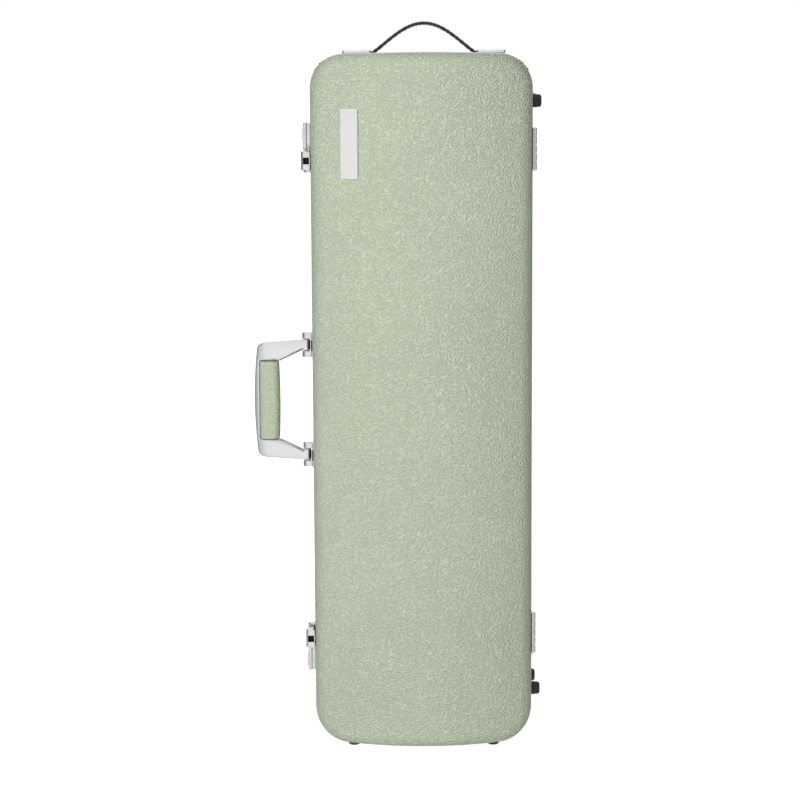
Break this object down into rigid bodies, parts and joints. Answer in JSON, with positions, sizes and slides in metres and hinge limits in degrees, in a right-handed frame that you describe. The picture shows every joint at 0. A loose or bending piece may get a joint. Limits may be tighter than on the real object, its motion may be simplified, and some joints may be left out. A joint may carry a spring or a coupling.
{
  "type": "violin case",
  "caption": "Oblong hard case for a violin, standing on its end: arched hinged lid, side carrying handle, two latches, rubber feet, end strap and a padded inside.",
  "frame": {"origin": "middle of the footprint, on the ground that the case's end feet stand on", "axes": "+Z along the case's length, towards the end with the strap; -Y out of the lid; +Y out of the back; -X out of the handle side; +X out of the hinge side"},
  "size_m": [0.3274, 0.144, 0.8347],
  "materials": {
    "leatherette_shell": "satin",
    "grip_leather": "satin",
    "satin_alloy": "satin",
    "plated_steel": "polished",
    "black_rubber": "matte",
    "strap_leather": "satin",
    "plush": "matte",
    "lining_cloth": "matte",
    "dark_plastic": "satin"
  },
  "bodies": {
    "base": {"base_shell": "leatherette_shell", "base_rim": "satin_alloy", "rim_seal": "black_rubber", "cushion_lower_bout": "plush", "cushion_upper_bout": "plush", "cushion_neck": "plush", "cushion_head": "plush", "cushion_end": "plush", "side_tray": "lining_cloth", "end_tray": "lining_cloth", "neck_cradle": "plush", "neck_strap": "strap_leather", "handle_bracket_upper": "satin_alloy", "handle_bracket_lower": "satin_alloy", "handle_pin_upper": "plated_steel", "handle_pin_lower": "plated_steel", "latch_housing_upper": "satin_alloy", "latch_housing_lower": "satin_alloy", "hasp_pin_upper": "plated_steel", "hasp_pin_lower": "plated_steel", "hinge_leaf_base_upper": "plated_steel", "hinge_leaf_base_lower": "plated_steel", "hinge_pin_upper": "plated_steel", "hinge_pin_lower": "plated_steel", "top_strap": "strap_leather", "strap_plate_left": "plated_steel", "strap_plate_right": "plated_steel", "end_foot_front_left": "black_rubber", "end_foot_front_right": "black_rubber", "end_foot_rear_left": "black_rubber", "end_foot_rear_right": "black_rubber", "side_foot_front_lower": "black_rubber", "side_foot_front_upper": "black_rubber", "side_foot_rear_lower": "black_rubber", "side_foot_rear_upper": "black_rubber"},
    "lid": {"lid_shell": "leatherette_shell", "lid_rim": "satin_alloy", "lid_lining": "lining_cloth", "lid_plate": "satin_alloy", "hinge_leaf_lid_upper": "plated_steel", "hinge_leaf_lid_lower": "plated_steel", "latch_keeper_upper": "plated_steel", "latch_keeper_lower": "plated_steel", "bow_rest_left": "plush", "bow_rest_right": "plush", "bow_loop_left": "strap_leather", "bow_loop_right": "strap_leather"},
    "handle": {"handle_frame": "satin_alloy", "handle_grip": "grip_leather"},
    "upper_hasp": {"hasp_upper": "satin_alloy"},
    "lower_hasp": {"hasp_lower": "satin_alloy"},
    "upper_thumb": {"latch_thumb_upper": "satin_alloy"},
    "lower_thumb": {"latch_thumb_lower": "satin_alloy"},
    "flap": {"tray_flap": "plush", "flap_tab": "strap_leather"},
    "left_clip": {"bow_clip_left": "dark_plastic"},
    "right_clip": {"bow_clip_right": "dark_plastic"}
  },
  "joints": [
    {"name": "lid_hinge", "type": "hinge", "parent": "base", "child": "lid", "pos_m": [0.15605, -0.02, 0.4065], "axis": [0, 0, 1], "range_deg": [0, 105]},
    {"name": "handle_swing", "type": "hinge", "parent": "base", "child": "handle", "pos_m": [-0.10375, 0, 0.4065], "axis": [0, 0, -1], "range_deg": [-80, 80]},
    {"name": "upper_hasp_turn", "type": "hinge", "parent": "base", "child": "upper_hasp", "pos_m": [-0.10035, -0.008, 0.68075], "axis": [0, 0, -1], "range_deg": [0, 100]},
    {"name": "lower_hasp_turn", "type": "hinge", "parent": "base", "child": "lower_hasp", "pos_m": [-0.10035, -0.008, 0.13225], "axis": [0, 0, -1], "range_deg": [0, 100]},
    {"name": "upper_thumb_slide", "type": "slide", "parent": "base", "child": "upper_thumb", "axis": [0, 0, -1], "range_m": [0, 0.006], "stiffness_N_per_m": 200},
    {"name": "lower_thumb_slide", "type": "slide", "parent": "base", "child": "lower_thumb", "axis": [0, 0, 1], "range_m": [0, 0.006], "stiffness_N_per_m": 200},
    {"name": "flap_hinge", "type": "hinge", "parent": "base", "child": "flap", "pos_m": [0.07975, -0.0083, 0.53], "axis": [0, 0, -1], "range_deg": [0, 95]},
    {"name": "left_clip_turn", "type": "hinge", "parent": "lid", "child": "left_clip", "pos_m": [-0.00725, -0.044, 0.716], "axis": [0, 1, 0], "range_deg": [0, 90]},
    {"name": "right_clip_turn", "type": "hinge", "parent": "lid", "child": "right_clip", "pos_m": [0.06475, -0.044, 0.716], "axis": [0, -1, 0], "range_deg": [0, 90]}
  ]
}
